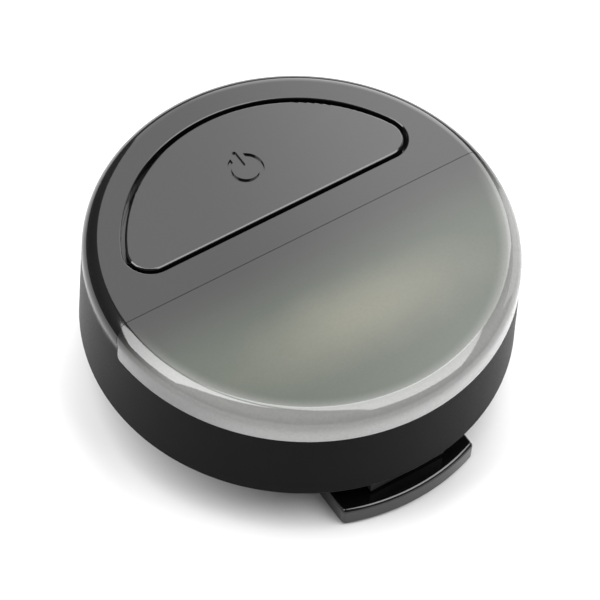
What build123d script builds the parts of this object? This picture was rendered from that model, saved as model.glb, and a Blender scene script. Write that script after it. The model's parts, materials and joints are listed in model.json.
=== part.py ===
"""Round clip-on light: a glossy puck with a half-moon button, a smoked half lens and a sprung clip.

Frame: +Z points out of the front face, +X runs along the seam between cover and lens, and +Y points
from the lens to the button. The origin is on the body's axis, in the clip's flat underside, so the
light lies on its clip at z = 0. Millimetres throughout.
"""

import os
from build123d import *

# ---------------------------------------------------------------- driving dimensions
BODY_RADIUS = 22.0  # side wall at the front edge
BASE_RADIUS = 22.3  # side wall at the rear rim, after draft
BODY_DEPTH = 12.5  # front face to rear rim
EDGE_ROUND = 1.7  # round between front face and side wall
RIM_ROUND = 0.35
WALL = 1.5

CLIP_THICK = 2.4
CLIP_GAP = 3.7  # clip's inner face to the rear cover
CLIP_HALF_WIDTH = 7.9
CLIP_CORNER = 0.45  # corner of the clip seen from the front

LENS_SKIRT = 3.5  # how far the lens comes down the side wall
LENS_THICK = 1.5
LENS_GAP = 0.06  # hairline between lens and housing
SEAM_Y_FRONT = 0.3  # seam on the front face
SEAM_Y_SIDE = -0.7  # seam on the side wall, where the joint has slanted back

BUTTON_RADIUS = 17.7
BUTTON_FLAT_Y = 4.2
BUTTON_CORNER = 2.4
BUTTON_GAP = 0.4
BUTTON_TRAVEL = 0.4
BUTTON_CENTRE_Y = 10.5

HINGE_Y = 7.0
PIN_RADIUS = 0.75

# ---------------------------------------------------------------- levels up the stack
REAR_Z = CLIP_THICK + CLIP_GAP
FRONT_Z = REAR_Z + BODY_DEPTH
LENS_EDGE_Z = FRONT_Z - LENS_SKIRT
PLATE_UNDER_Z = FRONT_Z - 1.6  # underside of the housing's front plate
COVER_THICK = 1.6
COVER_TOP_Z = REAR_Z + COVER_THICK
GASKET_THICK = 0.5
LEDGE_Z = COVER_TOP_Z + GASKET_THICK
BATTERY_Z = COVER_TOP_Z + 0.3
BATTERY_THICK = 4.0
BOARD_Z = 12.5
BOARD_THICK = 0.8
BOARD_TOP_Z = BOARD_Z + BOARD_THICK
HINGE_Z = CLIP_THICK + CLIP_GAP / 2

# ---------------------------------------------------------------- radii inside the body
CAVITY_RADIUS = BODY_RADIUS - WALL
REBATE_RADIUS = 21.2  # seat of the rear cover
COVER_RADIUS = REBATE_RADIUS - 0.05
BOARD_RADIUS = 20.2

# ---------------------------------------------------------------- fasteners
SCREW_SPOTS = [(12.9, 12.9), (-12.9, 12.9), (15.0, -10.5), (-15.0, -10.5)]
SCREW_SHANK_RADIUS = 0.95
SCREW_HEAD_RADIUS = 1.75
SCREW_HEAD_HEIGHT = 1.0
SCREW_LENGTH = 4.4
HEAD_SEAT_DEPTH = 1.1
BOSS_RADIUS = 2.4

# ---------------------------------------------------------------- charging port, in the +Y wall
PORT_WIDTH = 8.94
PORT_HEIGHT = 3.26
PORT_DEPTH = 7.35
PORT_SHEET = 0.3
PORT_MOUTH_Y = 20.75
PORT_Z = BOARD_Z - PORT_HEIGHT / 2
FLAP_FLOOR_RADIUS = 21.3  # bottom of the pocket that the rubber cover lies in
FLAP_WIDTH = 13.0
FLAP_HEIGHT = 5.2
FLAP_GAP = 0.2
FLAP_SPLIT_X = -4.95  # the cover bends here
PEG_X = -5.75
PEG_RADIUS = 0.5
PEG_HEAD_RADIUS = 0.85
PEG_HEAD_THICK = 0.6
PEG_TIP_Y = 18.9
SCOOP_ANGLE = -19.5  # where the fingernail scoop sits, from +Y
SCOOP_RADIUS = 2.0
SCOOP_DEPTH = 0.7

# ---------------------------------------------------------------- lamps
LED_XS = [-10.0, -5.0, 0.0, 5.0, 10.0]
LED_Y = -8.6
LED_SIZE = (3.5, 2.8, 0.7)

FAR = 60.0  # longer than anything in the part


# ---------------------------------------------------------------- small helpers
def slab(x0, x1, y0, y1, z0, z1):
    """A box between two corners."""
    return Pos((x0 + x1) / 2, (y0 + y1) / 2, (z0 + z1) / 2) * Box(x1 - x0, y1 - y0, z1 - z0)


def post(x, y, radius, z0, z1):
    """An upright cylinder."""
    return Pos(x, y, (z0 + z1) / 2) * Cylinder(radius, z1 - z0)


def ring(inner, outer, z0, z1):
    """An upright tube round the body's axis."""
    return post(0, 0, outer, z0, z1) - post(0, 0, inner, z0 - 1, z1 + 1)


def along_x(y, z, radius, x0, x1):
    """A cylinder along X."""
    return Pos((x0 + x1) / 2, y, z) * Rot(0, 90, 0) * Cylinder(radius, x1 - x0)


def along_y(x, z, radius, y0, y1):
    """A cylinder along Y."""
    return Pos(x, (y0 + y1) / 2, z) * Rot(90, 0, 0) * Cylinder(radius, y1 - y0)


def upright(sketch, z0, z1):
    """A flat outline extruded from z0 to z1."""
    return extrude(Pos(0, 0, z0) * sketch, z1 - z0)


def half_moon(radius, flat_y, corner):
    """The part of a disc beyond a straight edge at flat_y, with its two corners rounded."""
    disc = Circle(radius)
    keep = Pos(0, flat_y + radius) * Rectangle(3 * radius, 2 * radius)
    outline = disc & keep
    return fillet(outline.vertices(), corner)


def lens_moon(radius, flat_y, corner):
    """A half moon on the lens side, with its straight edge at flat_y."""
    return mirror(half_moon(radius, -flat_y, corner), about=Plane.XZ)


def stadium_y(width, height, y0, y1, x=0.0, z=PORT_Z):
    """A stadium seen along Y, extruded from y0 to y1."""
    face = Plane(origin=(x, y0, z), x_dir=(1, 0, 0), z_dir=(0, 1, 0)) * SlotOverall(width, height)
    return extrude(face, y1 - y0)


def edges_at_z(solid, z, slack=0.01):
    """The edges that lie wholly at one height."""
    return [e for e in solid.edges() if all(abs(v.Z - z) < slack for v in e.vertices())
            and abs(e.center().Z - z) < slack]


# ---------------------------------------------------------------- the body's skin
def envelope():
    """The whole outer skin of the puck, as if it were solid."""
    outline = Polyline((0, REAR_Z), (BASE_RADIUS, REAR_Z), (BODY_RADIUS, FRONT_Z), (0, FRONT_Z), close=True)
    puck = revolve(Plane.XZ * make_face(outline), Axis.Z)
    puck = fillet(edges_at_z(puck, FRONT_Z), EDGE_ROUND)
    return fillet(edges_at_z(puck, REAR_Z), RIM_ROUND)


def lens_region(gap):
    """All space on the lens side of the seam: the seam slants back from the front face to the wall."""
    slant_z = FRONT_Z - EDGE_ROUND
    corner_z = LENS_EDGE_Z - gap
    front_y, side_y = SEAM_Y_FRONT + gap, SEAM_Y_SIDE + gap
    outline = Polyline(
        (front_y, FRONT_Z + 1), (front_y, FRONT_Z), (side_y, slant_z), (side_y, corner_z),
        (-FAR / 2, corner_z), (-FAR / 2, FRONT_Z + 1), close=True,
    )
    face = Plane.YZ * make_face(outline)
    block = extrude(face, FAR / 2, both=True)
    corner = [e for e in block.edges().filter_by(Axis.X)
              if abs(e.center().Y - side_y) < 0.01 and abs(e.center().Z - corner_z) < 0.01]
    return fillet(corner, 0.5)


def front_housing(skin):
    """Gloss shell: front plate with the button opening, side wall, screw bosses and light wall."""
    hollow = post(0, 0, CAVITY_RADIUS, REAR_Z - 1, PLATE_UNDER_Z)
    hollow = fillet(edges_at_z(hollow, PLATE_UNDER_Z), 0.6)
    shell = skin - hollow - post(0, 0, REBATE_RADIUS, REAR_Z - 1, LEDGE_Z)
    shell -= lens_region(LENS_GAP)
    shell -= tongue_seat()

    opening = half_moon(BUTTON_RADIUS + BUTTON_GAP, BUTTON_FLAT_Y - BUTTON_GAP, BUTTON_CORNER + BUTTON_GAP)
    shell -= upright(opening, PLATE_UNDER_Z - 1, FRONT_Z + 1)
    shell = fillet(opening_edges(shell), 0.15)

    # seat under the lens's straight edge, and the wall that keeps light out of the button side
    inside = post(0, 0, CAVITY_RADIUS - 0.9, BOARD_Z, FRONT_Z)
    seat = slab(-FAR, FAR, SEAM_Y_SIDE - 0.9, SEAM_Y_SIDE + 2.4, PLATE_UNDER_Z - 1.4, PLATE_UNDER_Z + 0.05)
    light_wall = slab(-FAR, FAR, SEAM_Y_SIDE - 0.9, SEAM_Y_SIDE + 0.1, BOARD_TOP_Z + 0.1, PLATE_UNDER_Z)
    shell += (seat + light_wall) & inside

    for x, y in SCREW_SPOTS:
        shell += post(x, y, BOSS_RADIUS, LEDGE_Z, BOARD_Z) & post(0, 0, BODY_RADIUS - 0.5, LEDGE_Z, BOARD_Z)
        shell -= post(x, y, SCREW_SHANK_RADIUS + 0.05, LEDGE_Z - 1, BOARD_Z - 0.6)

    for angle in (40, 75, 105, 140):  # ribs that hold the board down
        rib = slab(CAVITY_RADIUS - 1.2, CAVITY_RADIUS + 0.3, -0.8, 0.8,
                   BOARD_TOP_Z + 0.05, PLATE_UNDER_Z + 0.1)
        shell += Rot(0, 0, angle) * rib

    shell -= port_pocket()
    shell -= stadium_y(PORT_WIDTH + 0.3, PORT_HEIGHT + 0.24, CAVITY_RADIUS - 3, FLAP_FLOOR_RADIUS + 1)
    shell -= along_y(PEG_X, PORT_Z, PEG_RADIUS + 0.02, CAVITY_RADIUS - 3, BASE_RADIUS)
    return shell - nail_scoop()


def opening_edges(shell):
    """The rim of the button opening, on the front face."""
    limit = BUTTON_RADIUS + BUTTON_GAP + 0.05
    return [e for e in edges_at_z(shell, FRONT_Z)
            if e.center().Y > BUTTON_FLAT_Y - BUTTON_GAP - 0.05
            and all((v.X ** 2 + v.Y ** 2) ** 0.5 < limit for v in e.vertices())]


def tongue_seat():
    """Rebate inside the wall for the lens's tongue."""
    seat = ring(CAVITY_RADIUS - 1, REBATE_RADIUS, LENS_EDGE_Z - 1.15, LENS_EDGE_Z + 0.5)
    return seat & slab(-FAR, FAR, -FAR, SEAM_Y_SIDE - 0.45, 0, FRONT_Z)


def lens(skin):
    """Smoked half lens: front plate, skirt down the wall, and a tongue into the housing."""
    hollow = post(0, 0, CAVITY_RADIUS, REAR_Z - 1, FRONT_Z - LENS_THICK)
    hollow = fillet(edges_at_z(hollow, FRONT_Z - LENS_THICK), 0.8)
    shell = (skin & lens_region(0)) - hollow
    tongue = ring(CAVITY_RADIUS, REBATE_RADIUS - 0.05, LENS_EDGE_Z - 1.1, LENS_EDGE_Z + 0.3)
    tongue &= slab(-FAR, FAR, -FAR, SEAM_Y_SIDE - 0.5, 0, FRONT_Z)
    return shell + tongue


# ---------------------------------------------------------------- button group
SIGN_RADIUS = 1.9
SIGN_LINE = 0.45
SIGN_DEPTH = 0.25


def power_mark():
    """A generic power sign, sunk into the button: a broken ring with a bar in the gap."""
    ring_face = Circle(SIGN_RADIUS) - Circle(SIGN_RADIUS - SIGN_LINE)
    gap = Pos(0, SIGN_RADIUS - 0.2) * Rectangle(1.5, 1.8)
    bar = Pos(0, SIGN_RADIUS - 0.55) * SlotOverall(SIGN_RADIUS + 0.2, SIGN_LINE, rotation=90)
    sign = Pos(0, BUTTON_CENTRE_Y) * ((ring_face - gap) + bar)
    return upright(sign, FRONT_Z - SIGN_DEPTH, FRONT_Z + 1)


def button():
    """Half-moon key: cap, retaining flange under the front plate, and a post over the switch."""
    cap = upright(half_moon(BUTTON_RADIUS, BUTTON_FLAT_Y, BUTTON_CORNER), PLATE_UNDER_Z - 0.1, FRONT_Z)
    cap = fillet(edges_at_z(cap, FRONT_Z), 0.25)
    flange = upright(half_moon(BUTTON_RADIUS + 0.9, BUTTON_FLAT_Y - 0.9, BUTTON_CORNER + 0.6),
                     PLATE_UNDER_Z - 1.0, PLATE_UNDER_Z - 0.1)
    hollow = upright(half_moon(BUTTON_RADIUS - 1.5, BUTTON_FLAT_Y + 1.5, 1.5),
                     PLATE_UNDER_Z - 1.1, FRONT_Z - 1.2)
    stem = post(0, BUTTON_CENTRE_Y, 1.4, SWITCH_TOP_Z, FRONT_Z - 1.1)
    return cap + flange - hollow + stem - power_mark()


def button_seal():
    """Silicone ring between the button's flange and the board. It closes the opening and lifts the key."""
    outer = half_moon(BUTTON_RADIUS + 0.7, BUTTON_FLAT_Y - 0.7, BUTTON_CORNER + 0.5)
    inner = half_moon(BUTTON_RADIUS - 0.5, BUTTON_FLAT_Y + 0.5, BUTTON_CORNER - 0.2)
    return upright(outer - inner, BOARD_TOP_Z, PLATE_UNDER_Z - 1.0)


SWITCH_SIDE = 4.5
SWITCH_CASE_Z = BOARD_TOP_Z + 1.6
SWITCH_TOP_Z = PLATE_UNDER_Z - 1.4
PLUNGER_RADIUS = 1.1


def switch_case():
    """Moulded body of the tact switch, with the well that its plunger slides in."""
    case = Pos(0, BUTTON_CENTRE_Y, (BOARD_TOP_Z + SWITCH_CASE_Z) / 2) * Box(
        SWITCH_SIDE, SWITCH_SIDE, SWITCH_CASE_Z - BOARD_TOP_Z)
    case = fillet(case.edges().filter_by(Axis.Z), 0.4)
    return case - post(0, BUTTON_CENTRE_Y, PLUNGER_RADIUS + 0.08, BOARD_TOP_Z + 0.5, SWITCH_CASE_Z + 1)


def switch_retainer():
    """Pressed steel cover that holds the plunger in."""
    plate = Pos(0, BUTTON_CENTRE_Y, SWITCH_CASE_Z + 0.1) * Box(SWITCH_SIDE - 0.3, SWITCH_SIDE - 0.3, 0.2)
    plate = fillet(plate.edges().filter_by(Axis.Z), 0.5)
    return plate - post(0, BUTTON_CENTRE_Y, PLUNGER_RADIUS + 0.08, BOARD_TOP_Z, FRONT_Z)


def switch_plunger():
    """Plunger of the tact switch, pressed by the button's stem."""
    rod = post(0, BUTTON_CENTRE_Y, PLUNGER_RADIUS, BOARD_TOP_Z + 1.0, SWITCH_TOP_Z)
    return fillet(edges_at_z(rod, SWITCH_TOP_Z), 0.15)


# ---------------------------------------------------------------- rear cover and what is on it
EAR_IN, EAR_OUT = 4.7, 6.7  # the cover's hinge ears, each side
LUG_IN, LUG_OUT = 2.7, 4.5  # the clip's hinge lugs, each side
EAR_RADIUS = 1.6
PAD_HALF_WIDTH = 4.4
PAD_FRONT_Y = -20.4
PAD_REAR_Y = -16.6
PAD_POCKET = 0.6
PAD_CLEARANCE = 0.1  # pad to the closed clip


def knuckle(x0, x1, root_z):
    """A hinge ear or lug: round about the hinge axis, with straight sides to its root."""
    low, high = sorted((HINGE_Z, root_z))
    return along_x(HINGE_Y, HINGE_Z, EAR_RADIUS, x0, x1) + slab(
        x0, x1, HINGE_Y - EAR_RADIUS, HINGE_Y + EAR_RADIUS, low, high)


def rear_cover():
    """Disc that closes the housing, with hinge ears, the grip pad's pocket and screw seats."""
    disc = post(0, 0, COVER_RADIUS, REAR_Z, COVER_TOP_Z)
    disc = fillet(edges_at_z(disc, REAR_Z), 0.25)
    for x, y in SCREW_SPOTS:
        disc += post(x, y, 2.0, COVER_TOP_Z - 0.2, LEDGE_Z)
        disc -= post(x, y, SCREW_HEAD_RADIUS + 0.2, REAR_Z - 1, REAR_Z + HEAD_SEAT_DEPTH)
        disc -= post(x, y, SCREW_SHANK_RADIUS + 0.2, REAR_Z - 1, LEDGE_Z + 1)
    for side in (-1, 1):
        x0, x1 = sorted((side * EAR_IN, side * EAR_OUT))
        disc += knuckle(x0, x1, REAR_Z + 0.2)
    disc -= along_x(HINGE_Y, HINGE_Z, PIN_RADIUS + 0.01, -FAR / 2, FAR / 2)
    pocket_z = REAR_Z + PAD_POCKET
    return disc - slab(-PAD_HALF_WIDTH, PAD_HALF_WIDTH, PAD_FRONT_Y, PAD_REAR_Y, REAR_Z - 1, pocket_z)


def grip_pad():
    """Rubber pad that the clip's tip closes on."""
    pad = slab(-PAD_HALF_WIDTH, PAD_HALF_WIDTH, PAD_FRONT_Y, PAD_REAR_Y,
               CLIP_THICK + PAD_CLEARANCE, REAR_Z + PAD_POCKET)
    return chamfer(edges_at_z(pad, CLIP_THICK + PAD_CLEARANCE), 0.3)


def cover_gasket():
    """Flat silicone ring between rear cover and housing."""
    return ring(CAVITY_RADIUS, REBATE_RADIUS - 0.1, COVER_TOP_Z, LEDGE_Z)


def cross_recess(x, y, face_z):
    """Cross slot for the driver, sunk into a screw head from below."""
    arm = Box(1.9, 0.42, 0.5) + Box(0.42, 1.9, 0.5)
    return Pos(x, y, face_z + 0.25) * Rot(0, 0, 20) * arm


def cover_screws():
    """Four pan-head screws, driven from the rear."""
    screws = []
    for x, y in SCREW_SPOTS:
        seat_z = REAR_Z + HEAD_SEAT_DEPTH
        head = post(x, y, SCREW_HEAD_RADIUS, seat_z - SCREW_HEAD_HEIGHT, seat_z)
        head = fillet(edges_at_z(head, seat_z - SCREW_HEAD_HEIGHT), 0.45)
        shank = post(x, y, SCREW_SHANK_RADIUS, seat_z - 0.1, seat_z + SCREW_LENGTH)
        shank = chamfer(edges_at_z(shank, seat_z + SCREW_LENGTH), 0.35)
        screws.append(head + shank - cross_recess(x, y, seat_z - SCREW_HEAD_HEIGHT))
    return Compound(children=screws)


# ---------------------------------------------------------------- clip
CLIP_EDGE_INNER = 0.42  # round towards the body
CLIP_EDGE_OUTER = 0.35  # round on the underside
GROOVE_COUNT = 4
GROOVE_FIRST_Y = 13.6
GROOVE_PITCH = 1.9
GROOVE_RADIUS = 0.6
GROOVE_AXIS_Z = -0.25  # a groove is 0.35 deep
GROOVE_HALF_LENGTH = 5.2


def clip_lever():
    """Sprung clip: flat bar with both ends on the body's own radius, two lugs and finger grooves."""
    bar = Circle(BASE_RADIUS) & Rectangle(2 * CLIP_HALF_WIDTH, FAR)
    bar = fillet(bar.vertices(), CLIP_CORNER)
    lever = upright(bar, 0, CLIP_THICK)
    lever = fillet(edges_at_z(lever, CLIP_THICK), CLIP_EDGE_INNER)
    lever = fillet(edges_at_z(lever, 0), CLIP_EDGE_OUTER)
    for side in (-1, 1):
        x0, x1 = sorted((side * LUG_IN, side * LUG_OUT))
        lever += knuckle(x0, x1, CLIP_THICK - 0.2)
    lever -= along_x(HINGE_Y, HINGE_Z, PIN_RADIUS + 0.05, -FAR / 2, FAR / 2)
    for step in range(GROOVE_COUNT):  # finger grooves in the underside of the thumb end
        groove_y = GROOVE_FIRST_Y + GROOVE_PITCH * step
        lever -= along_x(groove_y, GROOVE_AXIS_Z, GROOVE_RADIUS, -GROOVE_HALF_LENGTH, GROOVE_HALF_LENGTH)
    return lever


def hinge_pin():
    """Steel pin through ears and lugs."""
    pin = along_x(HINGE_Y, HINGE_Z, PIN_RADIUS, -EAR_OUT + 0.1, EAR_OUT - 0.1)
    return chamfer(pin.edges().filter_by(GeomType.CIRCLE), 0.15)


SPRING_RADIUS = 1.15
SPRING_WIRE = 0.25
SPRING_PITCH = 0.52
SPRING_TURNS = 6.5
SPRING_HALF_LENGTH = SPRING_PITCH * SPRING_TURNS / 2
SPRING_LEG_Y = HINGE_Y + 6.5


def spring_leg(side):
    """One straight leg of the spring, from the coil's end to the cover (side 1) or to the clip (side -1)."""
    face_z = REAR_Z if side > 0 else CLIP_THICK
    root = Vector(side * SPRING_HALF_LENGTH, HINGE_Y - side * 0.1, HINGE_Z + side * SPRING_RADIUS)
    tip = Vector(side * SPRING_HALF_LENGTH, SPRING_LEG_Y, face_z - side * (SPRING_WIRE + 0.02))
    line = Line(root, tip)
    return sweep(Plane(origin=root, z_dir=line % 0) * Circle(SPRING_WIRE), path=line)


def clip_spring():
    """Torsion spring on the pin, with the leg that pushes on the rear cover."""
    helix = Helix(SPRING_PITCH, 2 * SPRING_HALF_LENGTH, SPRING_RADIUS, lefthand=True)
    path = Pos(-SPRING_HALF_LENGTH, HINGE_Y, HINGE_Z) * Rot(0, 90, 0) * helix
    coil = sweep(Plane(origin=path @ 0, z_dir=path % 0) * Circle(SPRING_WIRE), path=path)
    return coil + spring_leg(1)


def clip_spring_leg():
    """The spring's other leg, which lies on the clip and swings with it."""
    return spring_leg(-1)


# ---------------------------------------------------------------- charging port
def port_pocket():
    """Shallow pocket in the wall that the rubber cover lies in."""
    block = stadium_y(FLAP_WIDTH + 2 * FLAP_GAP, FLAP_HEIGHT + 2 * FLAP_GAP, CAVITY_RADIUS - 3, FAR / 2)
    return block - post(0, 0, FLAP_FLOOR_RADIUS, 0, FRONT_Z)


def nail_scoop():
    """Dish beside the pocket that lets a fingernail under the cover's end."""
    centre_y = BODY_RADIUS + SCOOP_RADIUS - SCOOP_DEPTH
    return Rot(0, 0, SCOOP_ANGLE) * Pos(0, centre_y, PORT_Z) * Sphere(SCOOP_RADIUS)


def port_cover(skin):
    """The rubber cover in one piece, flush with the wall."""
    block = stadium_y(FLAP_WIDTH, FLAP_HEIGHT, CAVITY_RADIUS - 3, FAR / 2) & skin
    return block - post(0, 0, FLAP_FLOOR_RADIUS + 0.05, 0, FRONT_Z)


def port_flap(skin):
    """The part of the cover that swings: the flap, and the plug that fills the socket's mouth."""
    flap = port_cover(skin) & slab(FLAP_SPLIT_X + 0.05, FAR, 0, FAR, 0, FRONT_Z)
    plug = stadium_y(PORT_WIDTH - 2 * PORT_SHEET - 0.7, PORT_HEIGHT - 2 * PORT_SHEET - 0.6,
                     PORT_MOUTH_Y - 0.8, FLAP_FLOOR_RADIUS + 0.4)
    return flap + plug


def port_anchor(skin):
    """The part of the cover that stays in the pocket, with its headed peg through the wall."""
    anchor = port_cover(skin) & slab(-FAR, FLAP_SPLIT_X - 0.05, 0, FAR, 0, FRONT_Z)
    peg = along_y(PEG_X, PORT_Z, PEG_RADIUS, PEG_TIP_Y, FLAP_FLOOR_RADIUS - 0.1)
    head = along_y(PEG_X, PORT_Z, PEG_HEAD_RADIUS, PEG_TIP_Y, PEG_TIP_Y + PEG_HEAD_THICK)
    return anchor + peg + head


def usb_shell():
    """Sheet-steel shell of the socket."""
    rear_y = PORT_MOUTH_Y - PORT_DEPTH
    outer = stadium_y(PORT_WIDTH, PORT_HEIGHT, rear_y, PORT_MOUTH_Y)
    inner = stadium_y(PORT_WIDTH - 2 * PORT_SHEET, PORT_HEIGHT - 2 * PORT_SHEET, rear_y - 1, PORT_MOUTH_Y + 1)
    return outer - inner


TONGUE_HALF_THICK = 0.35
TONGUE_TIP_Y = PORT_MOUTH_Y - 1.4


def usb_tongue():
    """Moulded block and tongue inside the shell."""
    rear_y = PORT_MOUTH_Y - PORT_DEPTH
    slack = 2 * PORT_SHEET + 0.02
    block = stadium_y(PORT_WIDTH - slack, PORT_HEIGHT - slack, rear_y, rear_y + 1.4)
    tongue = slab(-3.3, 3.3, rear_y + 1.2, TONGUE_TIP_Y,
                  PORT_Z - TONGUE_HALF_THICK, PORT_Z + TONGUE_HALF_THICK)
    return block + chamfer(tongue.edges().filter_by(Axis.X).sort_by(Axis.Y)[-2:], 0.15)


def usb_contacts():
    """Twelve gold contacts on each face of the tongue."""
    contacts = []
    for side in (-1, 1):
        for place in range(12):
            x = (place - 5.5) * 0.5
            z0, z1 = sorted((PORT_Z + side * TONGUE_HALF_THICK, PORT_Z + side * (TONGUE_HALF_THICK + 0.06)))
            contacts.append(slab(x - 0.13, x + 0.13, TONGUE_TIP_Y - 3.6, TONGUE_TIP_Y - 0.25, z0, z1))
    return Compound(children=contacts)


# ---------------------------------------------------------------- light engine
def circuit_board():
    """Round board that everything is soldered to."""
    return post(0, 0, BOARD_RADIUS, BOARD_Z, BOARD_TOP_Z)


REFLECTOR_TOP_Z = FRONT_Z - LENS_THICK - 0.3
REFLECTOR_RADIUS = 19.8
REFLECTOR_EDGE_Y = SEAM_Y_SIDE - 1.0


def reflector():
    """White tray round the lamps, with sloping sides and a window for each lamp."""
    tray = upright(lens_moon(REFLECTOR_RADIUS, REFLECTOR_EDGE_Y, 1.5), BOARD_TOP_Z, REFLECTOR_TOP_Z)
    floor_z = BOARD_TOP_Z + 0.6
    low = Pos(0, 0, floor_z) * lens_moon(REFLECTOR_RADIUS - 3.0, REFLECTOR_EDGE_Y - 2.0, 1.6)
    high = Pos(0, 0, REFLECTOR_TOP_Z + 0.2) * lens_moon(REFLECTOR_RADIUS - 0.6, REFLECTOR_EDGE_Y - 0.6, 1.6)
    tray -= loft([low, high])
    for x in LED_XS:
        tray -= slab(x - 2.0, x + 2.0, LED_Y - 1.6, LED_Y + 1.6, BOARD_TOP_Z - 1, floor_z + 0.5)
    return tray


def led_well(x):
    """The cup in a lamp's package."""
    return post(x, LED_Y, 1.15, BOARD_TOP_Z + 0.25, BOARD_TOP_Z + 2)


def led_packages():
    """White lamp packages, each with a cup for its phosphor."""
    width, depth, height = LED_SIZE
    packages = []
    for x in LED_XS:
        body = slab(x - width / 2, x + width / 2, LED_Y - depth / 2, LED_Y + depth / 2,
                    BOARD_TOP_Z, BOARD_TOP_Z + height)
        packages.append(body - led_well(x))
    return Compound(children=packages)


def led_phosphors():
    """Yellow phosphor fill in each lamp's cup."""
    height = LED_SIZE[2]
    return Compound(children=[
        post(x, LED_Y, 1.13, BOARD_TOP_Z + 0.25, BOARD_TOP_Z + height - 0.05) for x in LED_XS])


# ---------------------------------------------------------------- electronics
def chip(x, y, width, depth, height, top=True):
    """A chip on the board's upper or lower face."""
    z0, z1 = (BOARD_TOP_Z, BOARD_TOP_Z + height) if top else (BOARD_Z - height, BOARD_Z)
    return slab(x - width / 2, x + width / 2, y - depth / 2, y + depth / 2, z0, z1)


def chip_passives():
    """Small resistors and capacitors in two rows by the switch and one row by the socket."""
    by_switch = [(-5.2 + 1.7 * place, 15.3, True) for place in range(7)]
    by_socket = [(-10.5 + 1.6 * place, 6.2, False) for place in range(4)]
    return Compound(children=[chip(x, y, 1.0, 0.5, 0.45, top) for x, y, top in by_switch + by_socket])


def power_inductor():
    """Square shielded coil of the lamp driver."""
    body = chip(8.6, 9.6, 4.0, 4.0, 1.9, top=False)
    return chamfer(body.edges().filter_by(Axis.Z), 0.7)


# ---------------------------------------------------------------- battery
CELL_HALF_WIDTH = 12.0
CELL_FRONT_Y, CELL_REAR_Y = -15.0, 4.0
PROTECTION_BOARD = (18.0, 1.0, 2.6)
LEAD_XS = {"battery_lead_red": 2.2, "battery_lead_black": -2.2}
LEAD_RADIUS = 0.45
LEAD_Z = 10.0
FILM_THICK = 0.12


def battery_cell():
    """Lithium pouch cell."""
    top_z = BATTERY_Z + BATTERY_THICK
    cell = slab(-CELL_HALF_WIDTH, CELL_HALF_WIDTH, CELL_FRONT_Y, CELL_REAR_Y, BATTERY_Z, top_z)
    cell = fillet(cell.edges().filter_by(Axis.Y), 1.1)
    return fillet(edges_at_z(cell, top_z), 0.3)


def battery_protection_board():
    """Narrow board on the cell's terminal edge."""
    width, thick, height = PROTECTION_BOARD
    low_z = LEAD_Z - height / 2 - 0.1
    return slab(-width / 2, width / 2, CELL_REAR_Y, CELL_REAR_Y + thick, low_z, low_z + height)


def battery_lead(x):
    """One lead, from the protection board round one bend to its pad under the main board."""
    start_y = CELL_REAR_Y + PROTECTION_BOARD[1]
    bend_y = start_y + 3.0
    path = FilletPolyline((x, start_y, LEAD_Z), (x, bend_y, LEAD_Z), (x, bend_y, BOARD_Z), radius=1.1)
    return sweep(Plane(origin=path @ 0, z_dir=path % 0) * Circle(LEAD_RADIUS), path=path)


def battery_tape():
    """Foam tape between cell and rear cover."""
    half = CELL_HALF_WIDTH - 1
    return slab(-half, half, CELL_FRONT_Y + 1, CELL_REAR_Y - 1, COVER_TOP_Z, BATTERY_Z)


def insulating_film():
    """Polyimide sheet between cell and board."""
    half = CELL_HALF_WIDTH + 0.2
    return slab(-half, half, CELL_FRONT_Y, CELL_REAR_Y + 1, BOARD_Z - FILM_THICK, BOARD_Z)


# ---------------------------------------------------------------- assembly
def build():
    """Every separate piece of the light, by name."""
    skin = envelope()
    parts = {
        "front_housing": front_housing(skin),
        "lens": lens(skin),
        "button": button(),
        "button_seal": button_seal(),
        "switch_case": switch_case(),
        "switch_retainer": switch_retainer(),
        "switch_plunger": switch_plunger(),
        "rear_cover": rear_cover(),
        "grip_pad": grip_pad(),
        "cover_gasket": cover_gasket(),
        "cover_screws": cover_screws(),
        "clip_lever": clip_lever(),
        "hinge_pin": hinge_pin(),
        "clip_spring": clip_spring(),
        "clip_spring_leg": clip_spring_leg(),
        "port_flap": port_flap(skin),
        "port_anchor": port_anchor(skin),
        "usb_shell": usb_shell(),
        "usb_tongue": usb_tongue(),
        "usb_contacts": usb_contacts(),
        "circuit_board": circuit_board(),
        "reflector": reflector(),
        "led_packages": led_packages(),
        "led_phosphors": led_phosphors(),
        "microcontroller": chip(8.6, 10.2, 4.0, 4.0, 0.85),
        "led_driver_chip": chip(-8.6, 10.2, 3.0, 3.0, 0.8),
        "charge_chip": chip(-8.0, 9.6, 2.9, 2.8, 0.9, top=False),
        "power_inductor": power_inductor(),
        "chip_passives": chip_passives(),
        "battery_cell": battery_cell(),
        "battery_protection_board": battery_protection_board(),
        "battery_tape": battery_tape(),
        "insulating_film": insulating_film(),
    }
    for name, x in LEAD_XS.items():
        parts[name] = battery_lead(x)
    return parts


def main():
    os.makedirs("parts", exist_ok=True)
    for name, solid in build().items():
        export_step(solid, f"parts/{name}.step")
        print(name, len(solid.solids()), "solid(s)", round(solid.volume, 2), "mm3")


main()
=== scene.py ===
# %% [markdown]
# # A round clip-on light, dressed for its portrait
# The solid parts of this light come from a CAD model: a black puck whose front is split into a push
# button and a smoked lens, with a sprung clip behind. This lesson loads those parts as a fixed frame
# and gives them their looks: finishes, soft pieces, small fittings, studio lights and a camera.
# Everything is in metres, in the CAD model's own frame: +Z points out of the lens.

# %% Load the frame
import json
from math import atan2, cos, pi, radians, sin

import bmesh
import bpy
from mathutils import Matrix, Vector


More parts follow.
